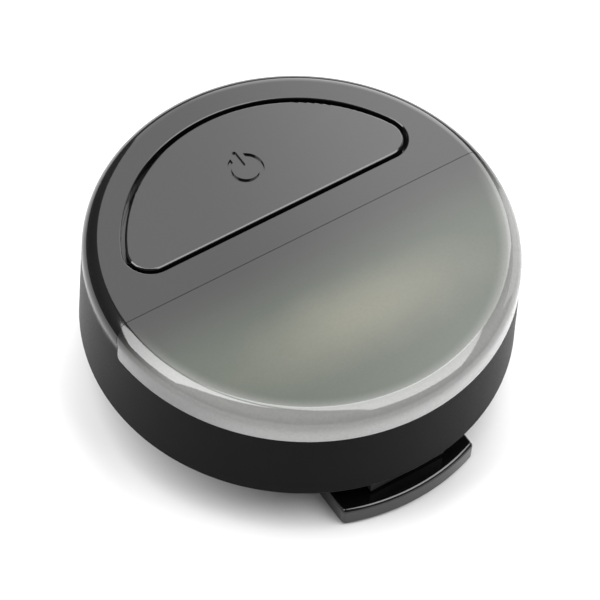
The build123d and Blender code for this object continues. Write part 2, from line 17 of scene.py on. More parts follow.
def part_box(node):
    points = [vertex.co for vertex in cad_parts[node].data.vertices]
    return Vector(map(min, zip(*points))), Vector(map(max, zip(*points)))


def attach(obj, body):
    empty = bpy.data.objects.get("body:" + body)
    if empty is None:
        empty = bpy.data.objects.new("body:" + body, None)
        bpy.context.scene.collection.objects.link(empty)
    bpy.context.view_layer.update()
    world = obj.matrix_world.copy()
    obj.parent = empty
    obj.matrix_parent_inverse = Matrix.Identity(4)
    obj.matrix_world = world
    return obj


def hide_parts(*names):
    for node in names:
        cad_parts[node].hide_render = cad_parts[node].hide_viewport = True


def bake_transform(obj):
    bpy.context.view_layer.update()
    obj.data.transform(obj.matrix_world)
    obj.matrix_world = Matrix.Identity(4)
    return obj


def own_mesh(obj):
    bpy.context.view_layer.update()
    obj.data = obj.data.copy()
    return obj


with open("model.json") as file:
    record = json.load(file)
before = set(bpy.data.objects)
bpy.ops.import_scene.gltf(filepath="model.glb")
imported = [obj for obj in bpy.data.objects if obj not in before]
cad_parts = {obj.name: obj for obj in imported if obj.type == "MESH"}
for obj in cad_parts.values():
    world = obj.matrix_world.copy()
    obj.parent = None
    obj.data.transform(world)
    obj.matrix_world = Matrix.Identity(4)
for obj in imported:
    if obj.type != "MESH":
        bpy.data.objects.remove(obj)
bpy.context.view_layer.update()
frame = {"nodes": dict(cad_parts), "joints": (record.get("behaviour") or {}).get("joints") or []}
MM = 0.001

# %% [markdown]
# ## Sizes that the looks need
# Places come from the frame, so nothing here has to be fitted by hand: each CAD node's box says where
# it is. Only what a box can't say, such as the radius of the edge round, is repeated from the design.

# %% Read the places from the frame
housing_low, housing_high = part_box("front_housing")
lamps_low, lamps_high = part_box("led_packages")
board_low, board_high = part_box("circuit_board")
seal_low, seal_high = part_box("button_seal")
JOINTS = {joint["name"]: joint for joint in frame["joints"]}
RIM_RADIUS = (housing_high.x - housing_low.x) / 2
REAR_Z = housing_low.z
FRONT_Z = housing_high.z
DRAFT = 0.3 / 12.5  # how much the wall's radius shrinks for each unit of height
EDGE_ROUND = 1.7 * MM
RIM_ROUND = 0.35 * MM
FACE_CENTRE = Vector((0, 0, FRONT_Z))
print("rim radius", round(RIM_RADIUS / MM, 2), "mm, front face at", round(FRONT_Z / MM, 2), "mm")

# %% [markdown]
# ## The camera
# A long lens keeps the puck's ellipse calm, as in a product portrait. The camera looks down on the
# front face from the lens side, a little from the left, and is rolled a few degrees. It is placed
# from its angles, so that the view can be described in words.

# %% Place the camera
VIEW_AZIMUTH = radians(-36.92)
VIEW_ELEVATION = radians(53.55)
VIEW_ROLL = radians(4.47)
VIEW_DISTANCE = 359.6 * MM
VIEW_ASIDE = 0.29 * MM
VIEW_DOWN = 6.12 * MM
FOCAL_LENGTH = 216.7

towards = Vector((
    sin(VIEW_AZIMUTH) * cos(VIEW_ELEVATION), -cos(VIEW_AZIMUTH) * cos(VIEW_ELEVATION), sin(VIEW_ELEVATION)))
level = Vector((cos(VIEW_AZIMUTH), sin(VIEW_AZIMUTH), 0))
upward = towards.cross(level)
camera_x = cos(VIEW_ROLL) * level + sin(VIEW_ROLL) * upward
camera_y = cos(VIEW_ROLL) * upward - sin(VIEW_ROLL) * level
camera = bpy.data.objects.new("camera", bpy.data.cameras.new("camera"))
camera.data.lens = FOCAL_LENGTH
camera.data.clip_start = 0.01
turn = Matrix((camera_x, camera_y, towards)).transposed().to_4x4()
spot = FACE_CENTRE + towards * VIEW_DISTANCE - camera_x * VIEW_ASIDE - camera_y * VIEW_DOWN
camera.matrix_world = Matrix.Translation(spot) @ turn
bpy.context.scene.collection.objects.link(camera)
bpy.context.scene.camera = camera
print("camera at", [round(v / MM) for v in spot], "mm")

# %% [markdown]
# ## The studio
# Black gloss has no colour of its own: it shows what it mirrors. So the lights are placed as shapes
# that the puck can mirror. A broad panel behind lies in the front face's mirror direction and turns
# it soft grey, an overhead panel at the left and a tall leaning strip at the right draw the two
# crisp streaks along the lens's rounded edge, and what is left stays dark.

# %% A softbox between two points
def softbox(name, near_end, far_end, width, radiance, aim=FACE_CENTRE):
    """An area light whose long axis runs between two points and which faces the light."""
    near_end, far_end = Vector(near_end), Vector(far_end)
    middle = (near_end + far_end) / 2
    along = (far_end - near_end).normalized()
    facing = middle - aim
    facing = (facing - facing.dot(along) * along).normalized()
    lamp = bpy.data.lights.new(name, "AREA")
    lamp.shape = "RECTANGLE"
    lamp.size = (far_end - near_end).length
    lamp.size_y = width
    lamp.energy = radiance * lamp.size * lamp.size_y * pi
    panel = bpy.data.objects.new(name, lamp)
    axes = Matrix((along, facing.cross(along), facing)).transposed().to_4x4()
    panel.matrix_world = Matrix.Translation(middle) @ axes
    bpy.context.scene.collection.objects.link(panel)
    print(name, round(lamp.size, 2), "by", width, "m")
    return panel


def fade_along(panel, axis, base, rises):
    """Let a softbox grow brighter along an axis. Each rise is (from, to, gain), smooth at both ends."""
    panel.data.use_nodes = True
    tree = panel.data.node_tree
    place = tree.nodes.new("ShaderNodeNewGeometry")
    split = tree.nodes.new("ShaderNodeSeparateXYZ")
    tree.links.new(place.outputs["Position"], split.inputs["Vector"])
    level = None
    for start, end, gain in rises:
        ramp = tree.nodes.new("ShaderNodeMapRange")
        ramp.interpolation_type = "SMOOTHSTEP"
        for socket, value in (("From Min", start), ("From Max", end), ("To Min", 0.0), ("To Max", gain)):
            ramp.inputs[socket].default_value = value
        total = tree.nodes.new("ShaderNodeMath")
        total.inputs[1].default_value = base
        tree.links.new(split.outputs[axis], ramp.inputs["Value"])
        tree.links.new(ramp.outputs["Result"], total.inputs[0])
        if level:
            tree.links.new(level, total.inputs[1])
        level = total.outputs["Value"]
    tree.links.new(level, tree.nodes["Emission"].inputs["Strength"])


# %% The four softboxes
softbox("overhead_left", (-0.764, 0.171, 0.43), (0.017, 0.229, 0.808), 0.366, 9.3)
softbox("leaning_right", (0.204, -0.403, 0.411), (0.320, 0.493, 1.098), 0.386, 7.4)
back_panel = softbox("broad_back", (0.21, 0.75, 0.75), (1.40, 0.75, 0.75), 1.05, 3.95)
fade_along(back_panel, "X", 0.64, [(0.38, 0.50, 0.42), (0.50, 0.90, 0.50)])
softbox("side_fill", (1.2, -0.30, 0.35), (1.2, 0.45, 0.35), 0.7, 2)

# %% Floor and surroundings
FLOOR_SIZE = 6.0
FLOOR_TONE = 0.60
ROOM_LIGHT = 0.16
floor_mesh = bpy.data.meshes.new("floor")
half = FLOOR_SIZE / 2
floor_corners = [(-half, -half, 0), (half, -half, 0), (half, half, 0), (-half, half, 0)]
floor_mesh.from_pydata(floor_corners, [], [(0, 1, 2, 3)])
floor = bpy.data.objects.new("floor", floor_mesh)
bpy.context.scene.collection.objects.link(floor)
floor_finish = bpy.data.materials.new("floor_paper")
floor_finish.use_nodes = True
floor_shader = floor_finish.node_tree.nodes["Principled BSDF"]
floor_shader.inputs["Base Color"].default_value = (FLOOR_TONE, FLOOR_TONE, FLOOR_TONE, 1)
floor_shader.inputs["Roughness"].default_value = 0.9
floor_shader.inputs["Specular IOR Level"].default_value = 0.0
floor_mesh.materials.append(floor_finish)

world = bpy.data.worlds.new("studio")
world.use_nodes = True
bpy.context.scene.world = world
sky = world.node_tree
backdrop = sky.nodes["Background"]
backdrop.inputs["Color"].default_value = (1, 1, 1, 1)
dim_room = sky.nodes.new("ShaderNodeBackground")
dim_room.inputs["Color"].default_value = (1, 1, 1, 1)
dim_room.inputs["Strength"].default_value = ROOM_LIGHT
ray_kind = sky.nodes.new("ShaderNodeLightPath")
choose = sky.nodes.new("ShaderNodeMixShader")
sky.links.new(ray_kind.outputs["Is Camera Ray"], choose.inputs["Fac"])
sky.links.new(dim_room.outputs["Background"], choose.inputs[1])
sky.links.new(backdrop.outputs["Background"], choose.inputs[2])
sky.links.new(choose.outputs["Shader"], sky.nodes["World Output"].inputs["Surface"])
bpy.context.scene.view_settings.view_transform = "Standard"
print("floor and surroundings are in place")

# %% [markdown]
# ## Finishes
# Every finish is a small node tree on Object coordinates, which are metres in the shared frame, so a
# grain of 0.2 mm is a noise of scale 1 / 0.0002. Three helpers do most of the work: one makes grain,
# one turns it into a range of values, and one presses it into the surface as relief.

# %% Helpers for finishes
def new_finish(name):
    """An empty finish: the material, its tree and its shader."""
    material = bpy.data.materials.new(name)
    material.use_nodes = True
    tree = material.node_tree
    return material, tree, tree.nodes["Principled BSDF"]


def grain(tree, size, detail=3.0, stretch=(1, 1, 1)):
    """Noise with features of about this size."""
    place = tree.nodes.new("ShaderNodeTexCoord")
    turned = tree.nodes.new("ShaderNodeMapping")
    turned.inputs["Scale"].default_value = stretch
    noise = tree.nodes.new("ShaderNodeTexNoise")
    noise.inputs["Scale"].default_value = 1 / size
    noise.inputs["Detail"].default_value = detail
    tree.links.new(place.outputs["Object"], turned.inputs["Vector"])
    tree.links.new(turned.outputs["Vector"], noise.inputs["Vector"])
    return noise.outputs["Fac"]


def spread(tree, value, low, high, from_low=0.3, from_high=0.7):
    """A value squeezed into a range, smooth at both ends."""
    node = tree.nodes.new("ShaderNodeMapRange")
    node.interpolation_type = "SMOOTHSTEP"
    node.inputs["From Min"].default_value = from_low
    node.inputs["From Max"].default_value = from_high
    node.inputs["To Min"].default_value = low
    node.inputs["To Max"].default_value = high
    tree.links.new(value, node.inputs["Value"])
    return node.outputs["Result"]


def blend_colours(tree, factor, first, second):
    """A colour between two, by a factor. Either may be a plain colour or a socket."""
    node = tree.nodes.new("ShaderNodeMix")
    node.data_type = "RGBA"
    tree.links.new(factor, node.inputs[0])
    for socket, colour in ((node.inputs[6], first), (node.inputs[7], second)):
        if isinstance(colour, bpy.types.NodeSocket):
            tree.links.new(colour, socket)
        else:
            socket.default_value = (*colour, 1)
    return node.outputs[2]


def relief(tree, shader, height, depth):
    """Relief on a surface, from a height between 0 and 1 and a depth in metres."""
    node = tree.nodes.new("ShaderNodeBump")
    node.inputs["Distance"].default_value = depth
    node.inputs["Strength"].default_value = 1.0
    tree.links.new(height, node.inputs["Height"])
    tree.links.new(node.outputs["Normal"], shader.inputs["Normal"])


def axis_value(tree, axis):
    """One Object coordinate, in metres."""
    place = tree.nodes.new("ShaderNodeTexCoord")
    split = tree.nodes.new("ShaderNodeSeparateXYZ")
    tree.links.new(place.outputs["Object"], split.inputs["Vector"])
    return split.outputs[axis]


def math_node(tree, operation, first, second=None):
    """A Math node. Each input may be a number or a socket."""
    node = tree.nodes.new("ShaderNodeMath")
    node.operation = operation
    for socket, value in zip(node.inputs, (first, second)):
        if isinstance(value, bpy.types.NodeSocket):
            tree.links.new(value, socket)
        elif value is not None:
            socket.default_value = value
    return node.outputs["Value"]


def moulded(name, colour, roughness, grain_size=0.2 * MM, depth=2e-6, sway=0.04, tone=0.15, specular=0.5):
    """A moulded plastic or rubber: fine grain, slightly uneven gloss and tone."""
    material, tree, shader = new_finish(name)
    fine = grain(tree, grain_size)
    broad = grain(tree, 6 * MM)
    lighter = [c * (1 + tone) for c in colour]
    darker = [c * (1 - tone) for c in colour]
    tree.links.new(blend_colours(tree, broad, darker, lighter), shader.inputs["Base Color"])
    tree.links.new(spread(tree, broad, roughness - sway, roughness + sway), shader.inputs["Roughness"])
    shader.inputs["Specular IOR Level"].default_value = specular
    relief(tree, shader, fine, depth)
    return material


def metal(name, colour, roughness, stretch=(1, 1, 1), grain_size=0.15 * MM, depth=1.5e-6):
    """A metal with fine drawn or brushed grain."""
    material, tree, shader = new_finish(name)
    lines = grain(tree, grain_size, stretch=stretch)
    darker = [c * 0.78 for c in colour]
    tree.links.new(blend_colours(tree, lines, darker, colour), shader.inputs["Base Color"])
    tree.links.new(spread(tree, lines, roughness * 0.75, roughness * 1.3), shader.inputs["Roughness"])
    shader.inputs["Metallic"].default_value = 1.0
    relief(tree, shader, lines, depth)
    return material


print("finish helpers are ready")

# %% [markdown]
# ## Exact shading for the turned skin
# The puck's outside is a solid of revolution: a drafted wall, an edge round and a flat face. The CAD
# mesh follows it within a hundredth of a millimetre, but a gloss surface shows the small facets in
# its streaks. The cure is not a finer mesh: each corner of the mesh can carry the exact normal of
# the shape it was turned from. That needs a copy, because a CAD node's own mesh is left alone.

# %% Normals of the turned skin
WALL_SLOPE = Vector((1, DRAFT)).normalized()
ROUND_Z = FRONT_Z - EDGE_ROUND
ROUND_RADIUS = RIM_RADIUS - DRAFT * (ROUND_Z - REAR_Z) - EDGE_ROUND / WALL_SLOPE.x
FOOT_Z = REAR_Z + RIM_ROUND
FOOT_RADIUS = RIM_RADIUS - DRAFT * RIM_ROUND - RIM_ROUND / WALL_SLOPE.x
ON_SKIN = 0.03 * MM


def skin_normal(point):
    """The outer skin's normal at a point, or None if the point lies elsewhere."""
    radius = Vector(point[:2]).length
    if radius < 1 * MM or point.z > FRONT_Z - 0.002 * MM:
        return Vector((0, 0, 1)) if point.z > FRONT_Z - ON_SKIN else None
    outward = Vector((point.x, point.y, 0)) / radius
    for centre_r, centre_z, size, side in (
            (ROUND_RADIUS, ROUND_Z, EDGE_ROUND, 1), (FOOT_RADIUS, FOOT_Z, RIM_ROUND, -1)):
        lean = Vector((radius - centre_r, point.z - centre_z))
        if abs(lean.length - size) < ON_SKIN and lean.x > -ON_SKIN and side * lean.y > 0:
            return (outward * lean.x + Vector((0, 0, lean.y))).normalized()
    wall_radius = RIM_RADIUS - DRAFT * (point.z - REAR_Z)
    if abs(radius - wall_radius) < ON_SKIN:
        return outward * WALL_SLOPE.x + Vector((0, 0, WALL_SLOPE.y))
    return None


def blended_normal(face, vertex, limit):
    """The mean normal of the faces round a corner that lean less than the limit from this one."""
    total = Vector()
    for other in vertex.link_faces:
        if other.normal.dot(face.normal) > limit:
            total += other.normal * other.calc_area()
    return total.normalized() if total.length > 0 else face.normal


def turned_copy(node, name, material, body):
    """Replace a CAD node by a copy whose outer skin carries its exact normals."""
    shell = bmesh.new()
    shell.from_mesh(frame["nodes"][node].data)
    bmesh.ops.remove_doubles(shell, verts=shell.verts, dist=1e-7)
    shell.normal_update()
    normals = []
    exact = 0
    for face in shell.faces:
        face.smooth = True
        wanted = [skin_normal(corner.vert.co) for corner in face.loops]
        on_skin = all(n is not None and n.dot(face.normal) > 0.9 for n in wanted)
        exact += on_skin
        for corner, normal in zip(face.loops, wanted):
            normals.append(normal if on_skin else blended_normal(face, corner.vert, cos(radians(35))))
    mesh = bpy.data.meshes.new(name)
    shell.to_mesh(mesh)
    shell.free()
    mesh.normals_split_custom_set([tuple(n) for n in normals])
    mesh.materials.clear()
    mesh.materials.append(material)
    piece = bpy.data.objects.new(name, mesh)
    bpy.context.scene.collection.objects.link(piece)
    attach(piece, body)
    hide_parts(node)
    print(name, "has", len(mesh.polygons), "faces,", exact, "of them on the turned skin")


# %% [markdown]
# ## The black housing
# The real housing is one moulding with two finishes from the tool: the front plate and its edge are
# polished and the side wall is a fine satin. A second material would need a second mesh, so the
# height of the point decides instead. The satin is the base layer everywhere, and the polish is a
# clear coat that fades out below the edge round.

# %% Housing finish
BLACK = (0.0022, 0.0022, 0.0024)
COAT_IOR = 1.49
POLISH_FROM = FRONT_Z - 2.6 * MM
POLISH_TO = FRONT_Z - 1.2 * MM


def housing_finish():
    material, tree, shader = new_finish("housing_gloss_and_satin")
    height = axis_value(tree, "Z")
    polished = spread(tree, height, 0.0, 1.0, POLISH_FROM, POLISH_TO)
    smears = grain(tree, 9 * MM)
    tooth = grain(tree, 0.12 * MM)
    tree.links.new(spread(tree, tooth, 0.32, 0.42), shader.inputs["Roughness"])
    tree.links.new(polished, shader.inputs["Coat Weight"])
    tree.links.new(blend_colours(tree, smears, BLACK, [c * 1.5 for c in BLACK]), shader.inputs["Base Color"])
    shader.inputs["Specular IOR Level"].default_value = 0.03
    shader.inputs["Coat Roughness"].default_value = 0.07
    shader.inputs["Coat IOR"].default_value = COAT_IOR
    satin = math_node(tree, "SUBTRACT", 1.0, polished)
    relief(tree, shader, math_node(tree, "MULTIPLY", tooth, satin), 3e-6)
    return material


def dress(node, material):
    """Give a CAD node its finish."""
    for slot in frame["nodes"][node].material_slots:
        slot.material = material


turned_copy("front_housing", "housing_shell", housing_finish(), "housing")

# %% [markdown]
# ## Button, clip, pad and rear cover
# They are black too, yet no two blacks are alike: the button matches the front plate, the clip's
# gloss is a little softer, the grip pad is dull rubber, and the rear cover has a sparked texture.

# %% Finishes of the outer black pieces
def polished_black(name, colour, roughness, base_level):
    """A black moulding with a polished skin: a dull base under a thin, smooth coat."""
    material = moulded(name, colour, 0.36, 0.15 * MM, 1e-6, specular=base_level)
    shader = material.node_tree.nodes["Principled BSDF"]
    shader.inputs["Coat Weight"].default_value = 1.0
    shader.inputs["Coat Roughness"].default_value = roughness
    shader.inputs["Coat IOR"].default_value = COAT_IOR
    return material


button_gloss = polished_black("button_gloss", BLACK, 0.07, 0.07)
turned_copy("button", "button_key", button_gloss, "button")
dress("clip_lever", polished_black("clip_gloss", BLACK, 0.12, 0.03))
dress("grip_pad", moulded("grip_rubber", (0.012, 0.012, 0.0125), 0.62, 0.08 * MM, 6e-6, specular=0.3))
dress("rear_cover", moulded("sparked_cover", (0.006, 0.006, 0.0063), 0.48, 0.10 * MM, 9e-6, specular=0.4))
print("outer black pieces are dressed")

# %% [markdown]
# ## The smoked lens
# The lens is a thick, slightly milky plastic, polished outside. What lies behind it is only guessed
# at: the row of lamps and its white tray show as one soft, warm patch of light, the light wall under
# the seam as a band of shade, and at the rim the eye looks along the plastic, which is palest there.
# Tracing that through frosted plastic would be slow and noisy, so the base colour paints that light
# and shade by place: a painted light patch over the lamps, painted shade along the seam, a painted
# pale rim, and a side band painted darker at the sides and paler towards the front. A coat mirrors
# the studio as sharply as the front plate does.

# %% Lens finish
SEAM_SHADE = (0.0015, 0.0014, 0.0013)
SMOKE = (0.026, 0.033, 0.023)
# painted light: the lamp row and its white tray, lit through the milky plastic, as one warm patch
PAINTED_LAMP_PATCH_LIGHT = (0.070, 0.070, 0.051)
# painted light: the rim of the plastic painted paler, as light carried along it
PAINTED_RIM_LIGHT = (0.150, 0.150, 0.146)
# painted light and shade on the lens's side band: darker at the sides, paler towards the front
SKIRT_SHADED_SIDE = (0.12, 0.12, 0.12)
SKIRT_LIT_FRONT = (0.33, 0.33, 0.325)
LAMP_ROW_Y = (lamps_low.y + lamps_high.y) / 2
LAMP_ROW_REACH = lamps_high.x
PATCH_Y = LAMP_ROW_Y - 2.2 * MM  # the lamps' own slant through the plastic moves the patch forward
PATCH_DEPTH = 5.2 * MM


def lens_finish():
    material, tree, shader = new_finish("smoked_lens")
    across, along, height = (axis_value(tree, a) for a in "XYZ")
    square = [math_node(tree, "MULTIPLY", v, v) for v in (across, along)]
    radius = math_node(tree, "SQRT", math_node(tree, "ADD", *square))
    from_seam = spread(tree, along, 0.0, 1.0, 0.5 * MM, -9.0 * MM)
    smoke = blend_colours(tree, from_seam, SEAM_SHADE, SMOKE)

    # painted light patch over the lamp row, uneven at its edge
    patch_x = math_node(tree, "DIVIDE", across, LAMP_ROW_REACH + 4 * MM)
    patch_y = math_node(tree, "DIVIDE", math_node(tree, "SUBTRACT", along, PATCH_Y), PATCH_DEPTH)
    patch_square = [math_node(tree, "MULTIPLY", v, v) for v in (patch_x, patch_y)]
    off_patch = math_node(tree, "SQRT", math_node(tree, "ADD", *patch_square))
    uneven = math_node(tree, "ADD", off_patch, math_node(tree, "MULTIPLY", grain(tree, 5 * MM), 0.25))
    glow = blend_colours(tree, spread(tree, uneven, 1.0, 0.0, 0.15, 1.35), smoke, PAINTED_LAMP_PATCH_LIGHT)

    # painted light at the rim, kept off near the seam
    rim = spread(tree, radius, 0.0, 1.0, RIM_RADIUS - 3.0 * MM, RIM_RADIUS - 0.6 * MM)
    face = blend_colours(tree, math_node(tree, "MULTIPLY", rim, from_seam), glow, PAINTED_RIM_LIGHT)
    skirt = spread(tree, height, 1.0, 0.0, FRONT_Z - 2.8 * MM, FRONT_Z - 0.3 * MM)
    fine = grain(tree, 0.35 * MM, 2.0)
    # painted light and shade on the side band, by how far towards the front
    towards_front = spread(tree, along, 0.0, 1.0, -7.0 * MM, -19.0 * MM)
    skirt_light_and_shade = blend_colours(tree, towards_front, SKIRT_SHADED_SIDE, SKIRT_LIT_FRONT)
    colour = blend_colours(tree, skirt, face, skirt_light_and_shade)
    speckle = blend_colours(tree, fine, (0.88, 0.88, 0.88), (1.12, 1.12, 1.12))
    mix = tree.nodes.new("ShaderNodeMix")
    mix.data_type = "RGBA"
    mix.blend_type = "MULTIPLY"
    mix.inputs[0].default_value = 1.0
    tree.links.new(colour, mix.inputs[6])
    tree.links.new(speckle, mix.inputs[7])
    tree.links.new(mix.outputs[2], shader.inputs["Base Color"])
    tree.links.new(spread(tree, grain(tree, 5 * MM), 0.42, 0.50), shader.inputs["Roughness"])
    shader.inputs["Specular IOR Level"].default_value = 0.05
    shader.inputs["Coat Weight"].default_value = 1.0
    shader.inputs["Coat Roughness"].default_value = 0.06
    shader.inputs["Coat IOR"].default_value = COAT_IOR
    relief(tree, shader, fine, 3e-7)
    return material


turned_copy("lens", "lens_shell", lens_finish(), "housing")

# %% [markdown]
# ## Inner pieces
# Sealed inside, yet each has its own stuff: the white board shows its tracks, the pouch cell is
# creased foil, springs and pins are drawn or ground steel, and the small mouldings have their grain.
# One table pairs each node with its finish.

# %% Board and pouch finishes
def board_finish(name, mask, track):
    """Solder mask over copper: thin straight tracks stand out a little, in both directions."""
    material, tree, shader = new_finish(name)
    lanes = []
    for stretch in ((1, 0.18, 1), (0.18, 1, 1)):
        place = tree.nodes.new("ShaderNodeTexCoord")
        turned = tree.nodes.new("ShaderNodeMapping")
        turned.inputs["Scale"].default_value = stretch
        cells = tree.nodes.new("ShaderNodeTexVoronoi")
        cells.feature = "DISTANCE_TO_EDGE"
        cells.inputs["Scale"].default_value = 1 / (1.6 * MM)
        cells.inputs["Randomness"].default_value = 0.7
        tree.links.new(place.outputs["Object"], turned.inputs["Vector"])
        tree.links.new(turned.outputs["Vector"], cells.inputs["Vector"])
        lanes.append(spread(tree, cells.outputs["Distance"], 1.0, 0.0, 0.05, 0.09))
    tracks = math_node(tree, "MAXIMUM", *lanes)
    tree.links.new(blend_colours(tree, tracks, mask, track), shader.inputs["Base Color"])
    tree.links.new(spread(tree, grain(tree, 0.4 * MM), 0.30, 0.42), shader.inputs["Roughness"])
    relief(tree, shader, tracks, 2e-5)
    return material


def foil_finish():
    """Aluminium laminate, slightly creased."""
    material, tree, shader = new_finish("pouch_foil")
    creases = grain(tree, 3.5 * MM, 2.0)
    fine = grain(tree, 0.4 * MM)
    foil = blend_colours(tree, fine, (0.55, 0.56, 0.58), (0.68, 0.69, 0.71))
    tree.links.new(foil, shader.inputs["Base Color"])
    tree.links.new(spread(tree, fine, 0.28, 0.40), shader.inputs["Roughness"])
    shader.inputs["Metallic"].default_value = 1.0
    relief(tree, shader, creases, 2.5e-4)
    return material


print("board and pouch finishes are defined")

# %% Finishes of the inner pieces
INNER_FINISHES = {
    "cover_gasket": moulded("gasket_silicone", (0.28, 0.29, 0.30), 0.55, 0.2 * MM, 2e-6),
    "switch_case": moulded("switch_moulding", (0.02, 0.02, 0.02), 0.5),
    "switch_plunger": moulded("plunger_moulding", (0.03, 0.03, 0.03), 0.4),
    "usb_tongue": moulded("socket_moulding", (0.02, 0.02, 0.02), 0.45),
    "reflector": moulded("reflector_white", (0.82, 0.82, 0.80), 0.5, 0.15 * MM, 3e-6, tone=0.03),
    "led_packages": moulded("lamp_package", (0.82, 0.82, 0.78), 0.45, tone=0.03),
    "led_phosphors": moulded("phosphor_gel", (0.85, 0.66, 0.16), 0.35, 0.05 * MM, 3e-6, tone=0.08),
    "microcontroller": moulded("chip_compound", (0.03, 0.03, 0.03), 0.55, 0.05 * MM, 2e-6),
    "led_driver_chip": moulded("driver_compound", (0.03, 0.03, 0.03), 0.55, 0.05 * MM, 2e-6),
    "charge_chip": moulded("charger_compound", (0.03, 0.03, 0.03), 0.55, 0.05 * MM, 2e-6),
    "power_inductor": moulded("ferrite", (0.10, 0.10, 0.11), 0.6, 0.08 * MM, 8e-6),
    "chip_passives": moulded("ceramic_chip", (0.40, 0.30, 0.20), 0.4, 0.1 * MM),
    "battery_tape": moulded("foam_tape", (0.06, 0.06, 0.06), 0.9, 0.1 * MM, 1e-5),
    "insulating_film": moulded("polyimide_film", (0.60, 0.28, 0.03), 0.25, 0.5 * MM, 1e-6),
    "battery_lead_red": moulded("red_insulation", (0.50, 0.02, 0.02), 0.4),
    "battery_lead_black": moulded("black_insulation", (0.02, 0.02, 0.02), 0.4),
    "circuit_board": board_finish("solder_mask_white", (0.72, 0.73, 0.70), (0.55, 0.58, 0.52)),
    "battery_protection_board": board_finish("solder_mask_green", (0.03, 0.16, 0.07), (0.06, 0.27, 0.12)),
    "battery_cell": foil_finish(),
    "hinge_pin": metal("ground_pin", (0.60, 0.60, 0.62), 0.22, stretch=(20, 1, 1)),
    "cover_screws": metal("black_zinc", (0.10, 0.10, 0.11), 0.35),
    "usb_shell": metal("nickel_sheet", (0.66, 0.66, 0.68), 0.25, stretch=(1, 0.1, 1)),
    "switch_retainer": metal("switch_steel", (0.60, 0.60, 0.62), 0.3),
    "usb_contacts": metal("contact_gold", (0.85, 0.62, 0.25), 0.25),
}
for node, finish in INNER_FINISHES.items():
    dress(node, finish)
print(len(INNER_FINISHES), "inner nodes are dressed")

# %% [markdown]
# ## Geometry Nodes: one workshop for everything that repeats
# Legs on chips, ribs on a rubber tab and turns of a spring are all the same job: a small shape, set
# along a rule. A node tree says the rule once, with its sizes as named inputs. The workshop below
# builds trees, runs one on an empty mesh, and hands back a plain mesh, because the finished light
# carries no live modifiers.

# %% The workshop
def new_rule(name, inputs):
    """A node tree with named inputs. Returns the tree, its input node and its output node."""
    tree = bpy.data.node_groups.new(name, "GeometryNodeTree")
    tree.interface.new_socket("Geometry", in_out="INPUT", socket_type="NodeSocketGeometry")
    for label, kind in inputs.items():
        tree.interface.new_socket(label, in_out="INPUT", socket_type="NodeSocket" + kind)
    tree.interface.new_socket("Geometry", in_out="OUTPUT", socket_type="NodeSocketGeometry")
    return tree, tree.nodes.new("NodeGroupInput"), tree.nodes.new("NodeGroupOutput")


def add_node(tree, kind, links=(), **values):
    """A node with its inputs linked by (socket, source) pairs and its plain values set by name."""
    node = tree.nodes.new(kind)
    for socket, source in links:
        tree.links.new(source, node.inputs[socket])
    for label, value in values.items():
        node.inputs[label.replace("_", " ")].default_value = value
    return node


def finish_rule(tree, entry, exit_node, geometry):
    """Realise the instances, set the finish and close the tree."""
    real = add_node(tree, "GeometryNodeRealizeInstances", [("Geometry", geometry)])
    dressed = add_node(tree, "GeometryNodeSetMaterial",
                       [("Geometry", real.outputs[0]), ("Material", entry.outputs["Finish"])])
    tree.links.new(dressed.outputs[0], exit_node.inputs[0])


def run_rule(tree, name, values):
    """Run a tree and return the result as a plain mesh on a new object."""
    seed = bpy.data.objects.new(name + "_seed", bpy.data.meshes.new(name + "_seed"))
    bpy.context.scene.collection.objects.link(seed)
    modifier = seed.modifiers.new("rule", "NODES")
    modifier.node_group = tree
    for item in tree.interface.items_tree:
        if item.in_out == "INPUT" and item.name in values:
            modifier[item.identifier] = values[item.name]
    evaluated = seed.evaluated_get(bpy.context.evaluated_depsgraph_get())
    mesh = bpy.data.meshes.new_from_object(evaluated)
    mesh.name = name
    seed.modifiers.remove(modifier)
    bpy.data.objects.remove(seed)
    piece = bpy.data.objects.new(name, mesh)
    bpy.context.scene.collection.objects.link(piece)
    print(name, "has", len(mesh.polygons), "faces")
    return piece


def shade_softly(mesh, limit=40):
    """Smooth shading with the edges above the limit left sharp."""
    for face in mesh.polygons:
        face.use_smooth = True
    mesh.set_sharp_from_angle(angle=radians(limit))


# %% [markdown]
# ## Solder pads round the chips
# A flat chip sits on a row of tinned pads along each side. One side is a line of small blocks, and
# the other three are the same line turned by quarter turns, so one tree serves all three chips.

# %% Pads along four sides
pad_rule, entry, out = new_rule("pads_round_a_chip", {
    "Count": "Int", "Pitch": "Float", "Reach": "Float", "Length": "Float", "Width": "Float",
    "Height": "Float", "Finish": "Material"})
block_size = add_node(pad_rule, "ShaderNodeCombineXYZ", [
    ("X", entry.outputs["Width"]), ("Y", entry.outputs["Length"]), ("Z", entry.outputs["Height"])])
block = add_node(pad_rule, "GeometryNodeMeshCube", [("Size", block_size.outputs[0])])
gaps = add_node(pad_rule, "ShaderNodeMath", [(0, entry.outputs["Count"])])
gaps.operation = "SUBTRACT"
gaps.inputs[1].default_value = 1
run_length = add_node(pad_rule, "ShaderNodeMath", [(0, gaps.outputs[0]), (1, entry.outputs["Pitch"])])
run_length.operation = "MULTIPLY"
first_x = add_node(pad_rule, "ShaderNodeMath", [(0, run_length.outputs[0])])
first_x.operation = "MULTIPLY"
first_x.inputs[1].default_value = -0.5
first = add_node(pad_rule, "ShaderNodeCombineXYZ", [
    ("X", first_x.outputs[0]), ("Y", entry.outputs["Reach"])])
step = add_node(pad_rule, "ShaderNodeCombineXYZ", [("X", entry.outputs["Pitch"])])
line = add_node(pad_rule, "GeometryNodeMeshLine", [
    ("Count", entry.outputs["Count"]), ("Start Location", first.outputs[0]), ("Offset", step.outputs[0])])
